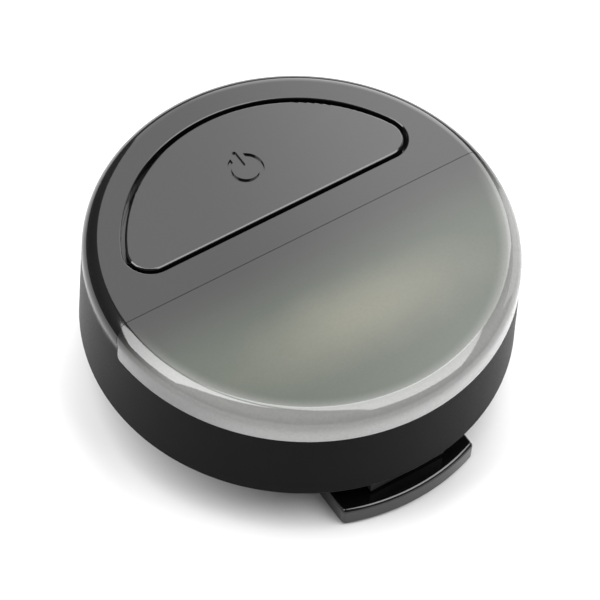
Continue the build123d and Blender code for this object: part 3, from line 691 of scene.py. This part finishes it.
row = add_node(pad_rule, "GeometryNodeInstanceOnPoints", [
    ("Points", line.outputs[0]), ("Instance", block.outputs[0])])
sides = add_node(pad_rule, "GeometryNodeJoinGeometry")
for quarter in range(4):
    turned = add_node(pad_rule, "GeometryNodeTransform", [("Geometry", row.outputs[0])],
                      Rotation=(0, 0, quarter * pi / 2))
    pad_rule.links.new(turned.outputs[0], sides.inputs[0])
finish_rule(pad_rule, entry, out, sides.outputs[0])

PAD_HEIGHT = 0.12 * MM
tinned = metal("tinned_pads", (0.72, 0.72, 0.74), 0.3, grain_size=0.1 * MM)
for chip_name, count in (("microcontroller", 6), ("led_driver_chip", 4), ("charge_chip", 4)):
    low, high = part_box(chip_name)
    on_top = low.z > board_low.z
    pads = run_rule(pad_rule, chip_name + "_pads", {
        "Count": count, "Pitch": 0.55 * MM, "Reach": (high.x - low.x) / 2 + 0.10 * MM, "Length": 0.35 * MM,
        "Width": 0.28 * MM, "Height": PAD_HEIGHT, "Finish": tinned})
    level_z = board_high.z + PAD_HEIGHT / 2 if on_top else board_low.z - PAD_HEIGHT / 2
    pads.data.transform(Matrix.Translation(((low.x + high.x) / 2, (low.y + high.y) / 2, level_z)))
    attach(pads, "housing")

# %% [markdown]
# ## The torsion spring
# The spring is one wire: a leg that lies on the clip, the coil round the pin, and a leg that pushes on
# the rear cover. The CAD had to cut off the leg that swings. Here the whole path is worked out turn by
# turn and a round profile is carried along it.

# %% A wire along a path
wire_rule, entry, out = new_rule("wire_along_a_path", {
    "Path": "Object", "Radius": "Float", "Finish": "Material"})
path_info = add_node(wire_rule, "GeometryNodeObjectInfo", [("Object", entry.outputs["Path"])])
profile = add_node(wire_rule, "GeometryNodeCurvePrimitiveCircle", [
    ("Radius", entry.outputs["Radius"])], Resolution=16)
wire = add_node(wire_rule, "GeometryNodeCurveToMesh", [
    ("Curve", path_info.outputs["Geometry"]), ("Profile Curve", profile.outputs[0])])
wire.inputs["Fill Caps"].default_value = True
smooth = add_node(wire_rule, "GeometryNodeSetShadeSmooth", [("Geometry", wire.outputs[0])])
finish_rule(wire_rule, entry, out, smooth.outputs[0])


def path_object(name, points, closed=False):
    """A straight-segment curve through points."""
    curve = bpy.data.curves.new(name, "CURVE")
    curve.dimensions = "3D"
    spline = curve.splines.new("POLY")
    spline.points.add(len(points) - 1)
    for place, point in zip(spline.points, points):
        place.co = (*point, 1)
    spline.use_cyclic_u = closed
    thing = bpy.data.objects.new(name, curve)
    bpy.context.scene.collection.objects.link(thing)
    return thing


# %% Wind the spring
COIL_RADIUS = 1.15 * MM
WIRE_RADIUS = 0.25 * MM
COIL_PITCH = 0.52 * MM
COIL_TURNS = 6.5
STEPS_PER_TURN = 28
HINGE = Vector(JOINTS["clip_hinge"]["pos_m"])
coil_half = COIL_PITCH * COIL_TURNS / 2
turns = []
for number in range(int(COIL_TURNS * STEPS_PER_TURN) + 1):
    angle = 2 * pi * number / STEPS_PER_TURN
    turns.append(HINGE + Vector((
        -coil_half + COIL_PITCH * angle / (2 * pi), -COIL_RADIUS * sin(angle), -COIL_RADIUS * cos(angle))))
LEG_REACH = 6.5 * MM
clip_leg_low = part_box("clip_spring_leg")[0]
cover_tip = Vector((coil_half, HINGE.y + LEG_REACH, REAR_Z - WIRE_RADIUS - 0.02 * MM))
clip_tip = Vector((-coil_half, HINGE.y + LEG_REACH, clip_leg_low.z + WIRE_RADIUS))
legs = [clip_tip, clip_tip.lerp(turns[0], 0.5)], [turns[-1].lerp(cover_tip, 0.5), cover_tip]
spring_path = path_object("spring_path", legs[0] + turns + legs[1])
spring = run_rule(wire_rule, "torsion_spring", {
    "Path": spring_path, "Radius": WIRE_RADIUS,
    "Finish": metal("spring_wire", (0.42, 0.42, 0.44), 0.3, stretch=(3, 1, 1))})
bpy.data.objects.remove(spring_path)
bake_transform(spring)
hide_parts("clip_spring", "clip_spring_leg")

# %% [markdown]
# ## The silicone bellows under the button
# The ring that closes the gap under the key is squeezed each time the key is pressed. A plain tube
# would bulge, so the real one has a fold. The path is the key's own half-moon outline, drawn with
# two arcs and a straight, and the folded wall is a closed profile carried round it.

# %% The half-moon path
SEAL_WALL = seal_high.z - seal_low.z
MOON_RADIUS = seal_high.x - 0.55 * MM
MOON_FLAT = seal_low.y + 0.6 * MM
MOON_CORNER = 2.2 * MM


def arc_points(centre, radius, start, end, count):
    """Points along an arc, its last one left out."""
    angles = [start + (end - start) * n / count for n in range(count)]
    return [centre + radius * Vector((cos(angle), sin(angle), 0)) for angle in angles]


def half_moon_path(radius, flat_y, corner, height):
    """A half moon: the big arc, two corner arcs and the straight edge between them."""
    corner_y = flat_y + corner
    corner_x = ((radius - corner) ** 2 - corner_y ** 2) ** 0.5
    lift = atan2(corner_y, corner_x)
    right, left = Vector((corner_x, corner_y, height)), Vector((-corner_x, corner_y, height))
    points = arc_points(Vector((0, 0, height)), radius, lift, pi - lift, 72)
    points += arc_points(left, corner, pi - lift, 3 * pi / 2, 12)
    points += [left + Vector((2 * corner_x * n / 16, -corner, 0)) for n in range(16)]
    points += arc_points(right, corner, -pi / 2, lift, 12)
    return points


# %% Bellows from a folded profile
bellows_rule, entry, out = new_rule("bellows_round_a_path", {
    "Path": "Object", "Fold": "Object", "Finish": "Material"})
path_info = add_node(bellows_rule, "GeometryNodeObjectInfo", [("Object", entry.outputs["Path"])])
fold_info = add_node(bellows_rule, "GeometryNodeObjectInfo", [("Object", entry.outputs["Fold"])])
wall = add_node(bellows_rule, "GeometryNodeCurveToMesh", [
    ("Curve", path_info.outputs["Geometry"]), ("Profile Curve", fold_info.outputs["Geometry"])])
smooth = add_node(bellows_rule, "GeometryNodeSetShadeSmooth", [("Geometry", wall.outputs[0])])
finish_rule(bellows_rule, entry, out, smooth.outputs[0])

SHEET = 0.30 * MM
FOLD_SWING = 0.22 * MM
LEVELS = 18
outer_side = []
inner_side = []
for level in range(LEVELS + 1):
    up = SEAL_WALL * level / LEVELS
    swing = FOLD_SWING * sin(2 * pi * level / LEVELS)
    outer_side.append(Vector((swing + SHEET / 2, up, 0)))
    inner_side.append(Vector((swing - SHEET / 2, up, 0)))
moon = path_object("moon_path", half_moon_path(MOON_RADIUS, MOON_FLAT, MOON_CORNER, seal_low.z), closed=True)
fold = path_object("fold_profile", outer_side + inner_side[::-1], closed=True)
bellows = run_rule(bellows_rule, "button_bellows", {
    "Path": moon, "Fold": fold, "Finish": moulded("silicone", (0.28, 0.29, 0.30), 0.55, 0.2 * MM, 2e-6)})
for helper in (moon, fold):
    bpy.data.objects.remove(helper)
box_low = min(v.co.z for v in bellows.data.vertices)
box_high = max(v.co.z for v in bellows.data.vertices)
print("bellows from", round(box_low / MM, 2), "to", round(box_high / MM, 2), "mm; seal from",
      round(seal_low.z / MM, 2), "to", round(seal_high.z / MM, 2), "mm")
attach(bellows, "housing")
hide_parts("button_seal")
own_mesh(bellows)

# %% [markdown]
# ## The rubber port cover
# On the real light the cover is one moulding: an anchored end with a peg, a thin bend, and a flap
# with a plug behind it. The CAD had to cut it at the bend. Here it is one skin again, drawn as a
# grid that follows the wall and thinned at the bend.

# %% Draw the cover
anchor_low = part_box("port_anchor")[0]
flap_low, flap_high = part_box("port_flap")
BEND = Vector(JOINTS["port_flap_hinge"]["pos_m"])
COVER_HALF = (flap_high.x - anchor_low.x) / 2
COVER_TALL = (flap_high.z - flap_low.z) / 2
COVER_Z = (flap_high.z + flap_low.z) / 2
COVER_X = (flap_high.x + anchor_low.x) / 2
COVER_INNER = 21.35 * MM
BEND_HALF = 0.45 * MM
BEND_CUT = 0.34 * MM
LIP = 0.16 * MM
# Each layer of the cover: which face it lies on, how far in from the outline, how far sunk.
LAYERS = (("outer", LIP, 0.0), ("outer", 0.3 * LIP, 0.3 * LIP), ("outer", 0.0, LIP), ("inner", 0.0, 0.0))


def half_height(x, inset):
    """Half the height of the cover's stadium outline at x, drawn in by an inset."""
    straight = COVER_HALF - COVER_TALL
    tall = COVER_TALL - inset
    beyond = max(abs(x - COVER_X) - straight, 0)
    return max(tall * tall - beyond * beyond, 0) ** 0.5


def cover_columns():
    """Places along the cover: close together at the round ends and at the bend."""
    places = {COVER_X - COVER_HALF, COVER_X + COVER_HALF}
    for number in range(1, 48):
        places.add(round(COVER_X - COVER_HALF * cos(pi * number / 48), 7))
    for number in range(-6, 7):
        places.add(round(BEND.x + BEND_HALF * 1.2 * number / 6, 7))
    return sorted(places)


def cover_depth(x):
    """How far the inner face is cut back at the bend."""
    near = max(0.0, 1 - abs(x - BEND.x) / BEND_HALF)
    return BEND_CUT * (3 * near ** 2 - 2 * near ** 3)


def cover_skin(sheet):
    """Outer face, rounded lip, side and inner face, as closed rings of points joined into a shell."""
    columns = cover_columns()
    rows = 14
    grids = []
    for face, inset, sunk in LAYERS:
        grid = []
        for x in columns:
            reach = half_height(x, inset)
            if inset and abs(x - COVER_X) > COVER_HALF - inset:
                x = COVER_X + (COVER_HALF - inset) * (1 if x > COVER_X else -1)
            column = []
            for row in range(rows + 1):
                z = COVER_Z + reach * (2 * row / rows - 1)
                radius = COVER_INNER + cover_depth(x)
                if face == "outer":
                    radius = RIM_RADIUS - DRAFT * (z - REAR_Z) - sunk
                column.append(sheet.verts.new((x, (radius * radius - x * x) ** 0.5, z)))
            grid.append(column)
        grids.append(grid)

    def outline(grid):
        lower = [column[0] for column in grid]
        upper = [column[-1] for column in grid]
        return lower + upper[::-1]

    for grid, flip in ((grids[0], False), (grids[-1], True)):
        for left, right in zip(grid, grid[1:]):
            for row in range(rows):
                corners = [left[row], left[row + 1], right[row + 1], right[row]]
                sheet.faces.new(corners[::-1] if flip else corners)
    for near, far in zip(grids, grids[1:]):
        first, second = outline(near), outline(far)
        count = len(first)
        for n in range(count):
            m = (n + 1) % count
            sheet.faces.new([first[n], first[m], second[m], second[n]])
    loose = [v for v in sheet.verts if not v.link_faces]
    bmesh.ops.delete(sheet, geom=loose, context="VERTS")


print("cover is", round(2 * COVER_HALF / MM, 2), "by", round(2 * COVER_TALL / MM, 2), "mm")

# %% Plug and peg behind the cover
def stadium_ring(sheet, x, z, width, height, y, steps=10):
    """A ring of points on a stadium outline in the XZ plane."""
    radius = height / 2
    straight = width / 2 - radius
    ring = []
    for side in (1, -1):
        for n in range(steps + 1):
            angle = -pi / 2 + pi * n / steps if side > 0 else pi / 2 + pi * n / steps
            across = x + side * straight + radius * cos(angle)
            ring.append(sheet.verts.new((across, y, z + radius * sin(angle))))
    return ring


def plug_shell(sheet, x, z, rings):
    """A closed plug through rings given as (width, height, y), from the tip to the root."""
    loops = [stadium_ring(sheet, x, z, *ring) for ring in rings]
    for near, far in zip(loops, loops[1:]):
        for n in range(len(near)):
            m = (n + 1) % len(near)
            sheet.faces.new([near[n], near[m], far[m], far[n]])
    sheet.faces.new(loops[0][::-1])
    sheet.faces.new(loops[-1])


usb_low, usb_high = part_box("usb_shell")
PLUG_WIDTH = (usb_high.x - usb_low.x) - 1.3 * MM
PLUG_HEIGHT = (usb_high.z - usb_low.z) - 1.2 * MM
PLUG_TIP_Y = usb_high.y - 0.8 * MM
PLUG_ROOT_Y = COVER_INNER + 0.25 * MM
PEG_X = -5.75 * MM
PEG_WIDTH = 1.0 * MM
PEG_HEAD = 1.7 * MM

sheet = bmesh.new()
cover_skin(sheet)
plug_shell(sheet, 0, COVER_Z, [
    (PLUG_WIDTH - 0.5 * MM, PLUG_HEIGHT - 0.5 * MM, PLUG_TIP_Y),
    (PLUG_WIDTH, PLUG_HEIGHT, PLUG_TIP_Y + 0.25 * MM),
    (PLUG_WIDTH, PLUG_HEIGHT, PLUG_ROOT_Y)])
peg_y = anchor_low.y
plug_shell(sheet, PEG_X, COVER_Z, [
    (PEG_HEAD * 0.7, PEG_HEAD * 0.7, peg_y), (PEG_HEAD, PEG_HEAD, peg_y + 0.25 * MM),
    (PEG_HEAD, PEG_HEAD, peg_y + 0.6 * MM), (PEG_WIDTH, PEG_WIDTH, peg_y + 0.61 * MM),
    (PEG_WIDTH, PEG_WIDTH, COVER_INNER + 0.15 * MM)])
bmesh.ops.remove_doubles(sheet, verts=sheet.verts, dist=1e-7)
bmesh.ops.dissolve_degenerate(sheet, edges=sheet.edges, dist=1e-7)
bmesh.ops.recalc_face_normals(sheet, faces=sheet.faces)
open_edges = sum(1 for e in sheet.edges if len(e.link_faces) != 2)
cover_mesh = bpy.data.meshes.new("port_cover")
sheet.to_mesh(cover_mesh)
sheet.free()
shade_softly(cover_mesh, 50)
rubber = moulded("port_rubber", (0.006, 0.006, 0.0063), 0.58, 0.07 * MM, 4e-6, specular=0.3)
cover_mesh.materials.append(rubber)
port_cover = bpy.data.objects.new("port_cover", cover_mesh)
bpy.context.scene.collection.objects.link(port_cover)
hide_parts("port_flap", "port_anchor")
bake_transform(port_cover)
print("port cover has", len(cover_mesh.polygons), "faces and", open_edges, "open edges")

# %% [markdown]
# ## Pull ribs on the cover's free end
# A fingernail needs something to catch, so the free end of the cover carries three low ribs. They
# are one small rounded bar, repeated along a line by a tree, and then laid on the curved wall.

# %% Ribs on a line
rib_rule, entry, out = new_rule("ribs_on_a_line", {
    "Count": "Int", "Pitch": "Float", "Length": "Float", "Radius": "Float", "Finish": "Material"})
bar = add_node(rib_rule, "GeometryNodeMeshCylinder", [
    ("Radius", entry.outputs["Radius"]), ("Depth", entry.outputs["Length"])], Vertices=16)
step = add_node(rib_rule, "ShaderNodeCombineXYZ", [("X", entry.outputs["Pitch"])])
line = add_node(rib_rule, "GeometryNodeMeshLine", [
    ("Count", entry.outputs["Count"]), ("Offset", step.outputs[0])])
row = add_node(rib_rule, "GeometryNodeInstanceOnPoints", [
    ("Points", line.outputs[0]), ("Instance", bar.outputs[0])])
finish_rule(rib_rule, entry, out, row.outputs[0])

RIB_COUNT = 3
RIB_PITCH = 0.7 * MM
RIB_RADIUS = 0.16 * MM
RIB_SUNK = 0.08 * MM
ribs = run_rule(rib_rule, "pull_ribs", {
    "Count": RIB_COUNT, "Pitch": RIB_PITCH, "Length": 1.9 * MM, "Radius": RIB_RADIUS, "Finish": rubber})
rib_x = flap_high.x - 2.7 * MM
for vertex in ribs.data.vertices:
    x = vertex.co.x + rib_x
    z = vertex.co.z + COVER_Z
    wall_radius = RIM_RADIUS - DRAFT * (z - REAR_Z)
    vertex.co = (x, (wall_radius ** 2 - x ** 2) ** 0.5 + vertex.co.y - RIB_SUNK, z)
shade_softly(ribs.data)
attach(ribs, "port_flap")

# %% [markdown]
# ## Small things inside the body
# Nickel tabs join the pouch cell to its protection board, a drop of solder holds each lead under the
# main board, and every lamp has two tinned feet. None shows from outside, but the light
# is meant to be opened.

# %% Cell tabs, solder drops and lamp feet
def inner_fitting(name, solid, material):
    """Turn drawn geometry into a piece that rides on the housing."""
    mesh = bpy.data.meshes.new(name)
    solid.to_mesh(mesh)
    solid.free()
    mesh.materials.append(material)
    piece = bpy.data.objects.new(name, mesh)
    bpy.context.scene.collection.objects.link(piece)
    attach(piece, "housing")
    print(name, "has", len(mesh.polygons), "faces")
    return mesh


def block_piece(name, boxes, material):
    """Small blocks with broken edges, joined in one piece that rides on the housing."""
    solid = bmesh.new()
    for low, high in boxes:
        middle = (Vector(low) + Vector(high)) / 2
        size = Vector(high) - Vector(low)
        stretch = Matrix.Translation(middle) @ Matrix.Diagonal((*size, 1))
        made = bmesh.ops.create_cube(solid, size=1.0, matrix=stretch)
        edges = list({edge for vertex in made["verts"] for edge in vertex.link_edges})
        broken = min(size) * 0.25
        bmesh.ops.bevel(solid, geom=edges, offset=broken, segments=2, affect="EDGES", profile=0.5)
    inner_fitting(name, solid, material)


def drop_piece(name, spots, radius, height, material):
    """Solder drops hanging under the board: low cones with a hollow flank, turned round each lead."""
    solid = bmesh.new()
    steps = 20
    levels = 7
    for spot in spots:
        rings = []
        for level in range(levels + 1):
            t = level / levels
            size = radius * (0.52 + 0.48 * (1 - t) ** 2.2)
            rings.append([solid.verts.new((
                spot.x + size * cos(2 * pi * n / steps), spot.y + size * sin(2 * pi * n / steps),
                spot.z - height * t)) for n in range(steps)])
        for near, far in zip(rings, rings[1:]):
            for n in range(steps):
                m = (n + 1) % steps
                solid.faces.new([near[n], near[m], far[m], far[n]])
        solid.faces.new(rings[0])
        solid.faces.new(rings[-1][::-1])
    bmesh.ops.recalc_face_normals(solid, faces=solid.faces)
    shade_softly(inner_fitting(name, solid, material))


guard_low, guard_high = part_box("battery_protection_board")
TAB_WIDTH = 3.0 * MM
TAB_THICK = 0.15 * MM
TAB_PLACES = (-6 * MM, 6 * MM)
tab_low = guard_low.z + 0.4 * MM
tab_high = guard_high.z - 0.35 * MM
tabs = [((x - TAB_WIDTH / 2, guard_high.y, tab_low), (x + TAB_WIDTH / 2, guard_high.y + TAB_THICK, tab_high))
        for x in TAB_PLACES]
nickel = metal("nickel_tab", (0.66, 0.65, 0.62), 0.3, stretch=(0.2, 1, 1))
block_piece("cell_tabs", tabs, nickel)

lead_spots = []
for lead_name in ("battery_lead_red", "battery_lead_black"):
    low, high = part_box(lead_name)
    lead_spots.append(Vector(((low.x + high.x) / 2, high.y - (high.x - low.x) / 2, board_low.z)))
DROP_RADIUS = 0.9 * MM
DROP_HEIGHT = 0.55 * MM
drop_piece("lead_solder", lead_spots, DROP_RADIUS, DROP_HEIGHT, tinned)

LAMP_COUNT = 5
LAMP_WIDTH = 3.5 * MM
FOOT_REACH = 0.224 * MM
FOOT_HALF = 0.9 * MM
FOOT_THICK = 0.15 * MM
lamp_pitch = (lamps_high.x - lamps_low.x - LAMP_WIDTH) / (LAMP_COUNT - 1)
feet = []
for number in range(LAMP_COUNT):
    centre_x = lamps_low.x + LAMP_WIDTH / 2 + lamp_pitch * number
    for side in (-1, 1):
        edge = centre_x + side * LAMP_WIDTH / 2
        x0, x1 = sorted((edge, edge + side * FOOT_REACH))
        feet.append(((x0, LAMP_ROW_Y - FOOT_HALF, board_high.z),
                     (x1, LAMP_ROW_Y + FOOT_HALF, board_high.z + FOOT_THICK)))
block_piece("lamp_feet", feet, tinned)
